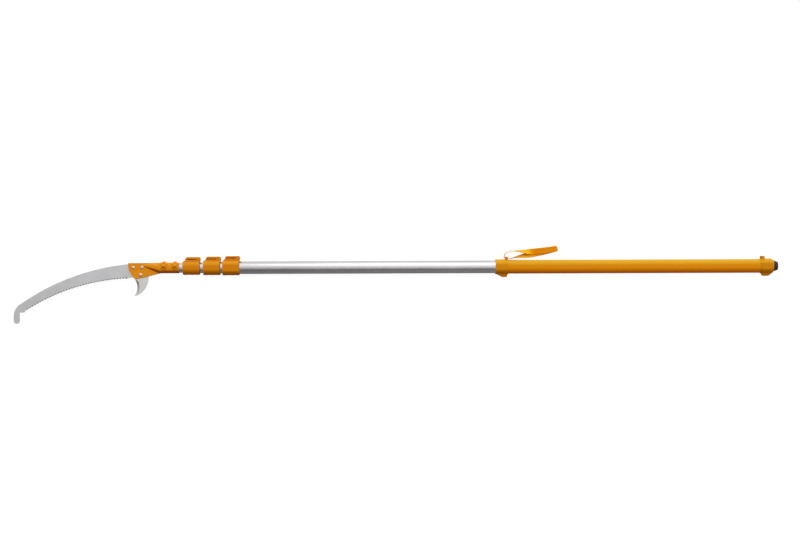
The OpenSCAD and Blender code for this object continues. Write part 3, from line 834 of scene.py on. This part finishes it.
# Each enamel and plastic takes a painted shade tone, its own colour and a painted lit tone, for faces turned
# from and to the lever side.
paint = enamel("orange_enamel", (0.48, 0.080, 0.001), (0.89, 0.315, 0.008), (0.86, 0.330, 0.020))
orange = plastic("orange_plastic", (0.60, 0.170, 0.001), (0.77, 0.248, 0.002), (0.77, 0.310, 0.012))
fitting = plastic("fitting_plastic", (0.66, 0.205, 0.001), (0.77, 0.285, 0.002), (0.80, 0.400, 0.015))
sunny = plastic("grip_plastic", (0.90, 0.215, 0.002), (0.88, 0.315, 0.003), (0.81, 0.435, 0.020), 0.28)
metal = alloy()
plated = zinc("plated_steel", (0.64, 0.64, 0.65))
golden = zinc("yellow_zinc", (0.82, 0.66, 0.54))
milky = nylon()
pad_mat = rubber("pad_rubber", (0.05, 0.05, 0.05), 0.75)
foot_mat = rubber("foot_rubber", (0.028, 0.022, 0.019), 0.55)

SOCKET = (479.5, 543.5)
BOSSES = [(494.2, 6.5), (529.8, 6.5)]
BOSS_R, BOSS_FOOT, BOSS_TOP, BOSS_BEVEL, BOSS_TAPER = 15.5, 4.0, 15.2, 3.2, 4.0
RIDGE_Y = 8.5
BLADE_BOLTS = [(392, 1.3), (421.3, 2.2), (416.6, -22.4)]
STACK, CHEEK = 2.0, 4.7
CHEEK_EDGE = [
    (375.6, 15), (375.4, 9), (376.2, 2), (378.3, -6.5), (381.3, -13.4), (385.2, -20.6), (390.6, -28.5),
    (397, -35.4), (401, -36), (414, -33.4), (440.2, -28.4), (479.5, -17.7), (485.5, -16),
    (485.5, 16.5), (377, 16.5),
]


def fairing(x, y, z, r, apex, half):
    """The swelling from a flat plate at station apex into the oval of half width r."""
    t = np.clip((x - apex) / (SOCKET[0] - apex), 0, 1)
    rest = 1 - t
    dy = np.abs(y - RIDGE_Y * rest) - (OVAL * t + 0.4 * rest)
    dz = np.abs(z) - (half - 0.6) * rest
    d = np.hypot(np.maximum(dy, 0), np.maximum(dz, 0)) - (r * t + 0.6 * rest)
    return np.maximum(d * 0.95, between(x, apex - 1, SOCKET[0] + 1))


def hexagon(x, y, centre, apothem):
    u, v = x - centre[0], y - centre[1]
    slant = np.maximum(np.abs(0.5 * u + 0.866 * v), np.abs(0.866 * v - 0.5 * u))
    return np.maximum(np.abs(u), slant) - apothem


def bracket(side):
    """One pressed shell of the head, above the blade for side 1 and below it for side -1."""

    def field(x, y, z):
        z = z * side
        r = POLE_R[0] + 1.8
        d = meet(outline(x, y, CHEEK_EDGE), between(z, STACK, CHEEK), 0.7)
        d = join(d, fairing(x, y, z, r, 424, CHEEK), 2.5)
        d = join(d, meet(stadium(y, z, r), between(x, *SOCKET), 0.8), 1.0)
        for p in BOSSES:
            slope = BOSS_TAPER * (z - BOSS_TOP + BOSS_BEVEL) / BOSS_BEVEL
            taper = hexagon(x, y, p, (BOSS_R - slope) * 0.866)
            wall = np.maximum(hexagon(x, y, p, BOSS_R * 0.866), taper * 0.66)
            d = join(d, meet(wall, between(z, BOSS_FOOT, BOSS_TOP), 0.6), 0.8)
        d = meet(d, -fairing(x, y, z, r - 2, 444, 2), 0.4)
        d = meet(d, -meet(stadium(y, z, POLE_R[0] + 0.1), SOCKET[0] - 0.5 - x), 0.4)
        d = meet(d, 0.25 - z, 0.3)
        d = meet(d, -meet(x - 432, z - STACK), 0.1)
        for p in BLADE_BOLTS + BOSSES:
            d = meet(d, -disc(x, y, p, 3.1), 0.3)
        return d

    lo, hi = span("bracket_front" if side > 0 else "bracket_rear")
    name = "head_shell_front" if side > 0 else "head_shell_rear"
    node = "bracket_front" if side > 0 else "bracket_rear"
    return cast(name, lo, hi, 0.45, field, paint, "inner_section", [node], "bracket_enamel")


bracket(1)
bracket(-1)


def button(z_end, z_seat, r, h, shank=3.0, socket=True):
    """Round-head bolt along Z, with or without a hex socket."""
    dome = (r * r + h * h) / (2 * h)
    rings = [(shank - 0.5, z_end, 0), (shank, z_end + 0.5, 0), (shank, z_seat, 0), (r - 0.2, z_seat, 0),
             (r, z_seat + 0.25, 0)]
    for share in (0.93, 0.84, 0.74, 0.64, 0.54, 0.47):
        q = r * share
        rings.append((q, z_seat + h - dome + math.sqrt(dome * dome - q * q), 0))
    if not socket:
        return lathe(rings + [(0.3 * r, z_seat + h - 0.15, 0), (0.05 * r, z_seat + h, 0)])
    lip = z_seat + h - 0.28
    rings += [(2.5, lip, 6), (2.3, lip - 0.3, 6), (2.3, z_seat + h - 1.6, 6), (0.4, z_seat + h - 1.75, 0)]
    return lathe(rings)


def fasteners():
    """The blade bolts and the clamp bolts that show on the head."""
    nut, washer = 4.5, 1.0
    low = -CHEEK - washer - nut - 0.8
    bolts = meld([moved(button(low, CHEEK, 5.8, 3.3), x, y) for x, y in BLADE_BOLTS])
    by_angle(put("blade_screws", *bolts, golden, "inner_section", ["blade_bolts"], "bolt_steel"))
    bolts = meld([moved(button(-BOSS_TOP - nut, BOSS_TOP, 7, 3.6, socket=False), x, y) for x, y in BOSSES])
    by_angle(put("clamp_screws", *bolts, paint, "inner_section", ["clamp_bolts"], "bolt_orange"))


fasteners()

# ---- Poles ----


def cut_box(obj, lo, hi):
    """Takes a box, in millimetres, out of a piece."""
    x0, y0, z0 = to_frame(lo)
    x1, y1, z1 = to_frame(hi)
    mesh = bpy.data.meshes.new("cutter")
    points = [(x, y, z) for x in (x0, x1) for y in (y0, y1) for z in (z0, z1)]
    faces = [(0, 1, 3, 2), (4, 6, 7, 5), (0, 4, 5, 1), (2, 3, 7, 6), (0, 2, 6, 4), (1, 5, 7, 3)]
    mesh.from_pydata(points, [], faces)
    tool = bpy.data.objects.new("cutter", mesh)
    bpy.context.scene.collection.objects.link(tool)
    cut = obj.modifiers.new("cut", "BOOLEAN")
    cut.operation, cut.object, cut.solver = "DIFFERENCE", tool, "EXACT"
    bpy.context.view_layer.update()
    graph = bpy.context.evaluated_depsgraph_get()
    made = bpy.data.meshes.new_from_object(obj.evaluated_get(graph))
    obj.modifiers.clear()
    obj.data = made
    bpy.data.objects.remove(tool)


for i, node in enumerate(POLES):
    lo, hi = span(node)
    skin = turned(tube_profile(lo[0], hi[0], POLE_R[i], POLE_R[i] - WALL, 0.3))
    pole = put(node + "_tube", *skin, metal, POLE_BODY[i], [node], "pole_alloy")
    by_angle(pole)
    if i:
        pad_lo, pad_hi = span(STAGES[i - 1] + "_pad")
        cut_box(pole, (pad_lo[0] - 0.6, 4, pad_lo[2] - 0.6), (pad_hi[0] + 0.6, 40, pad_hi[2] + 0.6))
        by_angle(pole)

# Stop rivets, with low domed heads
for i, node in enumerate(["second_stop_rivets", "third_stop_rivets", "outer_stop_rivets"]):
    lo, hi = span(node)
    x, r = (lo[0] + hi[0]) / 2, POLE_R[i + 1]
    dome = [(2.0, hi[2], 0), (2.0, -r + 0.05, 0), (1.7, -r - 0.07, 0), (1.0, -r - 0.14, 0),
            (0.3, -r - 0.16, 0)]
    parts = []
    for y in (lo[1] + 2, hi[1] - 2):
        points, faces = moved(lathe(dome, 32), x, y)
        parts.append((points, [f[::-1] for f in faces]))
    name = node.replace("stop_rivets", "rivet_heads")
    by_angle(put(name, *meld(parts), metal, POLE_BODY[i + 1], [node], "pole_alloy"))

# ---- Clamp collars and levers ----

LUG_IN, LUG_T = 8.4, 4.0
KNUCKLE, CAM_R, CAM_E, PIN_BACK = 6.0, 6.2, 1.2, 4.2
PIN_SKIN, WEB, WEB_CLEAR, RAIL = 0.7, 1.5, 0.8, 0.6
PAD_BACK, PAD_HALF = 1.2, 3.4
COLLAR_LEN = 54.4
LEVER_T, LEVER_GAP = (7.4, 7.0, 5.6), 4.2
COLLAR_SCREWS = (20, 40)


def make_collar(i):
    """Collar with a raised deck, two lugs, a pad window and counterbored screw holes."""
    node = STAGES[i] + "_collar"
    lo, hi = span(node)
    x0, x1 = lo[0], lo[0] + COLLAR_LEN
    r = -lo[1] - OVAL
    top = span(STAGES[i] + "_lever")[1][1]
    deck = top - LEVER_T[i] - LEVER_GAP
    pin = (x1 - PIN_BACK, top - KNUCKLE)
    pad = span(STAGES[i] + "_pad")[1][2]

    def field(x, y, z):
        d = meet(stadium(y, z, r), between(x, x0, x1), 1.3)
        block = [(x0, 0), (x0, 15.6), (x0 + 6.5, deck), (x1 - 1, deck), (x1, deck - 3), (x1, 0)]
        d = join(d, meet(outline(x, y, block), np.abs(z) - LUG_IN - LUG_T, 1.2), 1.8)
        seat = [(x1 - 11, deck - 2), (x1, deck - 2), (x1, deck), (x1 - 11, deck)]
        lug = around(ring(pin, KNUCKLE + 0.2) + seat)
        rail = [(x0 + 6, deck - 2), (x0 + 7.5, deck + RAIL), (x1 - 10, deck + RAIL), (x1 - 10, deck - 2)]
        walls = join(outline(x, y, lug), outline(x, y, rail), 0.5)
        d = join(d, meet(walls, between(np.abs(z), LUG_IN, LUG_IN + LUG_T), 0.5), 0.6)
        d = meet(d, -stadium(y, z, POLE_R[i] + 0.6), 0.5)
        d = meet(d, -meet(stadium(y, z, POLE_R[i + 1] + 0.1), x0 + 1.5 - x), 0.2)
        window = np.maximum(np.abs(x - pin[0] + PAD_BACK) - PAD_HALF - 0.3, np.abs(z) - pad - 0.3)
        window = np.maximum(window, 4 - y)
        d = meet(d, -window, 0.3)
        d = meet(d, -np.maximum(disc(x, y, pin, CAM_R + CAM_E + 0.5), np.abs(z) - LUG_IN), 0.3)
        d = meet(d, -np.maximum(disc(x, y, pin, 2.55), z - LUG_IN - LUG_T + PIN_SKIN), 0.2)
        for s in COLLAR_SCREWS:
            bore = disc(x, z, (x0 + s, 0), 3.9)
            d = meet(d, -np.maximum(bore, y + r + OVAL - 2.4), 0.3)
            d = meet(d, -np.maximum(disc(x, z, (x0 + s, 0), 2.1), y), 0.1)
        return meet(d, np.abs(z) - FLAT, 0.5)

    return cast(node + "_body", lo, hi, 0.45, field, orange, POLE_BODY[i + 1], [node], "collar_plastic")


def make_lever(i):
    """Cam lever with a turned-down tip, thumb ribs and an eccentric cam."""
    node = STAGES[i] + "_lever"
    lo, hi = span(node)
    x0 = span(STAGES[i] + "_collar")[0][0]
    top, half = hi[1], hi[2]
    under = top - LEVER_T[i]
    deck = under - LEVER_GAP
    pin = (x0 + COLLAR_LEN - PIN_BACK, top - KNUCKLE)

    def field(x, y, z):
        bar = [
            (x0 + 6.6, deck + 1.1), (x0 + 9.6, top - 2.6), (x0 + 12.2, top), (pin[0], top), (pin[0], under),
            (x0 + 12.5, under), (x0 + 10.5, deck + 0.9), (x0 + 7.2, deck + 0.9),
        ]
        web_end, web_foot = pin[0] - 4, deck + WEB_CLEAR
        web = [(x0 + 11, under + 1), (x0 + 12, web_foot), (web_end, web_foot), (web_end, under + 1)]
        side = np.abs(z) - half
        d = meet(outline(x, y, bar), side, 1.1)
        d = join(d, meet(outline(x, y, web), np.abs(z) - WEB, 0.4), 0.8)
        d = join(d, meet(disc(x, y, pin, KNUCKLE), side, 0.8), 1.0)
        d = join(d, meet(disc(x, y, (pin[0], pin[1] - CAM_E), CAM_R), side, 0.8), 0.5)
        for k in range(4):
            rib = np.hypot(x - x0 - 14 - 2.6 * k, y - top - 0.45)
            d = meet(d, -np.maximum(rib - 1.0, np.abs(z) - half + 1.6), 0.3)
        return meet(d, -disc(x, y, pin, 2.6), 0.2)

    return cast(node + "_arm", lo, hi, 0.35, field, orange, node, [node], "collar_plastic")


for i in range(3):
    make_collar(i)
    make_lever(i)

# ---- Grip end ----

FITTING_R = 20.6
SLEEVE = span("grip_sleeve")
by_angle(
    put(
        "grip_sleeve_skin",
        *turned(tube_profile(SLEEVE[0][0], SLEEVE[1][0], SLEEVE[1][2], POLE_R[3] + 0.1, 0.5), 96),
        sunny, "outer_section", ["grip_sleeve"], "grip_plastic",
    )
)


def eye(x, y, z, x0, x1):
    """Bail that the strap threads through."""
    d = meet(meet(between(x, x0, x1), between(y, 0, 32.8), 1.2), np.abs(z) - 13, 1.2)
    slot = np.maximum(between(y, 25.2, 29.8), np.abs(z) - 10.4)
    return meet(d, -slot, 0.7)


def bump(x, y, z, shape):
    """Stop bump of this side shape, thinner towards its nose."""
    half = 9 - 4 * np.clip((-22 - y) / 10, 0, 1)
    return meet(outline(x, y, shape), (np.abs(z) - half) * 0.93, 1.6)


def under_screws(d, x, y, z, stations):
    for s in stations:
        d = meet(d, -np.maximum(disc(x, y, (s, 0), 2.1), z), 0.1)
        d = meet(d, -np.maximum(disc(x, y, (s, 0), 3.9), z + FLAT - 2.1), 0.3)
    return d


def make_front_fitting():
    lo, hi = span("front_fitting")
    x0, x1 = lo[0], hi[0]

    def field(x, y, z):
        d = meet(stadium(y, z, FITTING_R), between(x, x0, x1), 1.4)
        d = join(d, eye(x, y, z, x1 - 9, x1 - 0.5), 0.8)
        heel = [(x0 + 1, -14), (x0 + 1, -22), (x0 + 21, -33), (x0 + 24, -33.8), (x1 - 6, -33.8),
                (x1 - 4, -32), (x1 - 1, -22), (x1 - 1, -14)]
        d = join(d, bump(x, y, z, heel), 2.0)
        d = meet(d, -stadium(y, z, POLE_R[3] + 0.1), 0.6)
        d = under_screws(d, x, y, z, (1590, 1604))
        return meet(d, np.abs(z) - FLAT, 0.6)

    cast("front_fitting_body", lo, hi, 0.45, field, fitting, "outer_section", ["front_fitting"],
         "grip_plastic")


def make_rear_cap():
    lo, hi = span("rear_cap")
    x0, x1 = lo[0], hi[0]
    pole_end = span("outer_pole")[1][0]

    def field(x, y, z):
        taper = FITTING_R - 5.2 * np.clip((x - x1 + 8) / 7, 0, 1)
        d = meet(stadium(y, z, taper) * 0.85, between(x, x0, x1), 1.2)
        d = join(d, eye(x, y, z, x0 + 2.5, x0 + 12.5), 0.8)
        heel = [(x0 + 2, -14), (x0 + 3, -20), (x0 + 5.5, -30.5), (x0 + 10, -32.5), (x0 + 24, -32.5),
                (x0 + 30, -30), (x1 - 2, -20), (x1 - 2, -14)]
        d = join(d, bump(x, y, z, heel), 2.0)
        d = meet(d, -np.maximum(stadium(y, z, POLE_R[3] + 0.1), x - pole_end - 0.2), 0.5)
        d = meet(d, -disc(y, z, (0, 0), 9.2), 0.3)
        d = under_screws(d, x, y, z, (2466, 2480))
        return meet(d, np.abs(z) - FLAT, 0.6)

    cast("rear_cap_body", lo, hi, 0.45, field, fitting, "outer_section", ["rear_cap"], "grip_plastic")


def make_foot():
    lo, hi = span("rubber_foot")
    x0, x1 = span("rear_cap")[1][0], hi[0]

    def field(x, y, z):
        r = 14.2 - 4.5 * np.clip((x - x0 - 1) / (x1 - x0 - 2), 0, 1)
        d = meet(stadium(y, z, r) * 0.9, between(x, x0, x1), 1.5)
        d = join(d, meet(disc(y, z, (0, 0), 9.0), between(x, lo[0], x0 + 2), 0.4), 0.1)
        groove = np.hypot(np.abs(stadium(y, z, 5.0)), x - x1) - 0.7
        return meet(d, -groove, 0.3)

    cast("foot_moulding", lo, hi, 0.35, field, foot_mat, "outer_section", ["rubber_foot"], "foot_rubber")


make_front_fitting()
make_rear_cap()
make_foot()

# ---- Wrist strap ----

STRAP_W, STRAP_T = 20.0, 1.7
# The far fold lies between these stations, and its corners are drawn in by FOLD_ROUND
FOLD_FROM, FOLD_TO, FOLD_ROUND = 1768, 1785, 5.5
# Middle of the webbing and the way its width points, right round the loop from the eye
STRAP_PATH = [
    ((1616.5, 27.4, 0), (0, 0, 1)),
    ((1626, 27.0, -0.5), (0, 0, 1)),
    ((1641, 29.4, -3.5), (0, -0.1, 1)),
    ((1660, 33.4, -8), (0, -0.41, 0.91)),
    ((1682, 37.0, -13.6), (0.1, -0.78, 0.6)),
    ((1708, 42.2, -18.0), (0.15, -1, 0.1)),
    ((1740, 49.0, -18.9), (0.2, -1, 0)),
    ((1768, 56.0, -18.9), (0.22, -1, 0)),
    ((1780, 58.6, -18.5), (0.22, -1, 0)),
    ((1785.6, 59.4, -16.2), (0.22, -1, 0)),
    ((1780, 58.4, -13.6), (0.2, -1, 0)),
    ((1765, 56.2, -14.4), (0.16, -1, 0)),
    ((1738, 53.0, -15.6), (0.1, -1, 0)),
    ((1706, 49.8, -15.2), (0.08, -1, 0)),
    ((1682, 49.0, -10.6), (0, -0.7, 0.7)),
    ((1662, 51.0, -6), (0, -0.35, 0.94)),
    ((1645, 51.4, -2.0), (0, -0.08, 1)),
    ((1631, 50.8, 0), (0, 0, 1)),
    ((1620, 47.4, 0), (0, 0, 1)),
    ((1612.4, 42.2, 0), (0, 0, 1)),
    ((1609.2, 35.4, 0), (0, 0, 1)),
    ((1609.8, 29.6, 0), (0, 0, 1)),
]


def spline(values, closed_steps=60):
    """A smooth closed curve through rows of numbers."""
    v = np.array(values, float)
    out = []
    for i in range(len(v)):
        p0, p1, p2, p3 = (v[(i + k) % len(v)] for k in (-1, 0, 1, 2))
        for t in np.linspace(0, 1, closed_steps, endpoint=False):
            out.append(0.5 * (2 * p1 + (p2 - p0) * t + (2 * p0 - 5 * p1 + 4 * p2 - p3) * t * t
                              + (3 * p1 - p0 - 3 * p2 + p3) * t ** 3))
    return np.array(out)


def strap_line(step):
    """Points, directions and widths at even steps round the strap, and its length."""
    raw = spline([(*p, *w) for p, w in STRAP_PATH])
    gaps = np.linalg.norm(np.roll(raw[:, :3], -1, 0) - raw[:, :3], axis=1)
    at = np.concatenate([[0], np.cumsum(gaps)])
    length = at[-1]
    n = int(length / step)
    s = np.arange(n) * length / n
    loop = np.vstack([raw, raw[:1]])
    p = np.stack([np.interp(s, at, loop[:, k]) for k in range(6)], 1)
    mid, wide = p[:, :3], p[:, 3:]
    along = np.roll(mid, -1, 0) - np.roll(mid, 1, 0)
    along /= np.linalg.norm(along, axis=1)[:, None]
    wide = wide - (wide * along).sum(1)[:, None] * along
    wide /= np.linalg.norm(wide, axis=1)[:, None]
    return s, mid, along, wide, np.cross(along, wide), length


def make_strap():
    """Loop of webbing with woven ribs, rolled selvedges and a sewn overlap."""
    s, mid, along, wide, face, length = strap_line(0.42)
    across = 32
    u = np.linspace(-1, 1, across + 1)
    top = [(v, 1) for v in u] + [(v, -1) for v in u[::-1]]
    v = np.array([a for a, _ in top])
    side = np.array([b for _, b in top], float)
    body = np.clip((1 - np.abs(v)) / 0.07, 0, 1) ** 0.5
    rib = 0.09 * np.cos(2 * np.pi * (s[:, None] / 1.68 + np.abs(v)[None] * STRAP_W / 2 / 3.4))
    thick = (STRAP_T / 2 * (0.35 + 0.65 * body) + rib * body)[:, :] * side[None]
    points = mid[:, None] + face[:, None] * thick[:, :, None]
    points += wide[:, None] * (v * STRAP_W / 2)[None, :, None]
    curl = np.clip((mid[:, 0] - FOLD_FROM) / (FOLD_TO - FOLD_FROM), 0, 1) ** 2
    points[:, :, 0] -= FOLD_ROUND * curl[:, None] * np.abs(v)[None] ** 5
    n = len(top)
    strip, faces = sweep([list(map(tuple, r)) for r in points], closed=True)
    # The first and last webbing colours are painted shade and painted light tones.
    weave = webbing((0.90, 0.17, 0.001), (0.96, 0.34, 0.003), (1.0, 0.52, 0.008))
    strap = put("strap_loop", strip, faces, weave, "outer_section", ["wrist_strap"], "webbing")
    uv = strap.data.uv_layers.new(name="run")
    where = np.stack([np.repeat(s, n), np.tile(v * STRAP_W / 2, len(s))], 1) * MM
    index = np.zeros(len(strap.data.loops), int)
    strap.data.loops.foreach_get("vertex_index", index)
    uv.data.foreach_set("uv", where[index].astype(np.float32).ravel())
    # The first and last thread colours are painted shade and painted light tones.
    thread = plastic("strap_thread", (0.80, 0.25, 0.01), (0.85, 0.42, 0.03), (0.90, 0.52, 0.05), 0.6)
    stitches = []
    for start, rows in ((length * 0.30, (-0.78, -0.26, 0.26, 0.78)),):
        for row in rows:
            for k in range(9):
                here = int((start + k * 3.0) / length * len(s))
                stitches.append(stitch(here, row, mid, wide, face, s))
    put("strap_stitches", *meld(stitches), thread, "outer_section", (), "webbing")


def stitch(here, row, mid, wide, face, s):
    """One thread stitch, 2.2 mm long, lying on one face of the webbing."""
    rings = []
    for t in np.linspace(-1, 1, 7):
        i = here + int(round(t * 1.1 / (s[1] - s[0])))
        lift = STRAP_T / 2 + 0.06 + 0.14 * (1 - t * t)
        r = 0.26 * (1 - 0.75 * t ** 6)
        centre = mid[i] + wide[i] * row * STRAP_W / 2 + face[i] * lift
        rings.append([tuple(centre + r * (math.cos(a) * wide[i] + math.sin(a) * face[i]))
                      for a in np.linspace(0, 2 * math.pi, 8, endpoint=False)])
    return sweep(rings)


make_strap()

# ---- CAD nodes that show as they are ----

FINISH = {
    "blade_washers": plated, "blade_nuts": plated, "clamp_nuts": plated, "head_insert": milky,
    "inner_bush": milky, "second_bush": milky, "third_bush": milky,
    "inner_liner": milky, "middle_liner": milky, "outer_liner": milky,
    "inner_lever_pin": plated, "middle_lever_pin": plated, "outer_lever_pin": plated,
    "inner_pad": pad_mat, "middle_pad": pad_mat, "outer_pad": pad_mat,
    "inner_collar_screws": plated, "middle_collar_screws": plated, "outer_collar_screws": plated,
    "front_fitting_screws": plated, "rear_cap_screws": plated, "butt_plug": milky,
}
for node, mat in FINISH.items():
    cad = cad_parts[node]
    cad.data.materials.clear()
    cad.data.materials.append(mat)
    for f in cad.data.polygons:
        f.material_index = 0
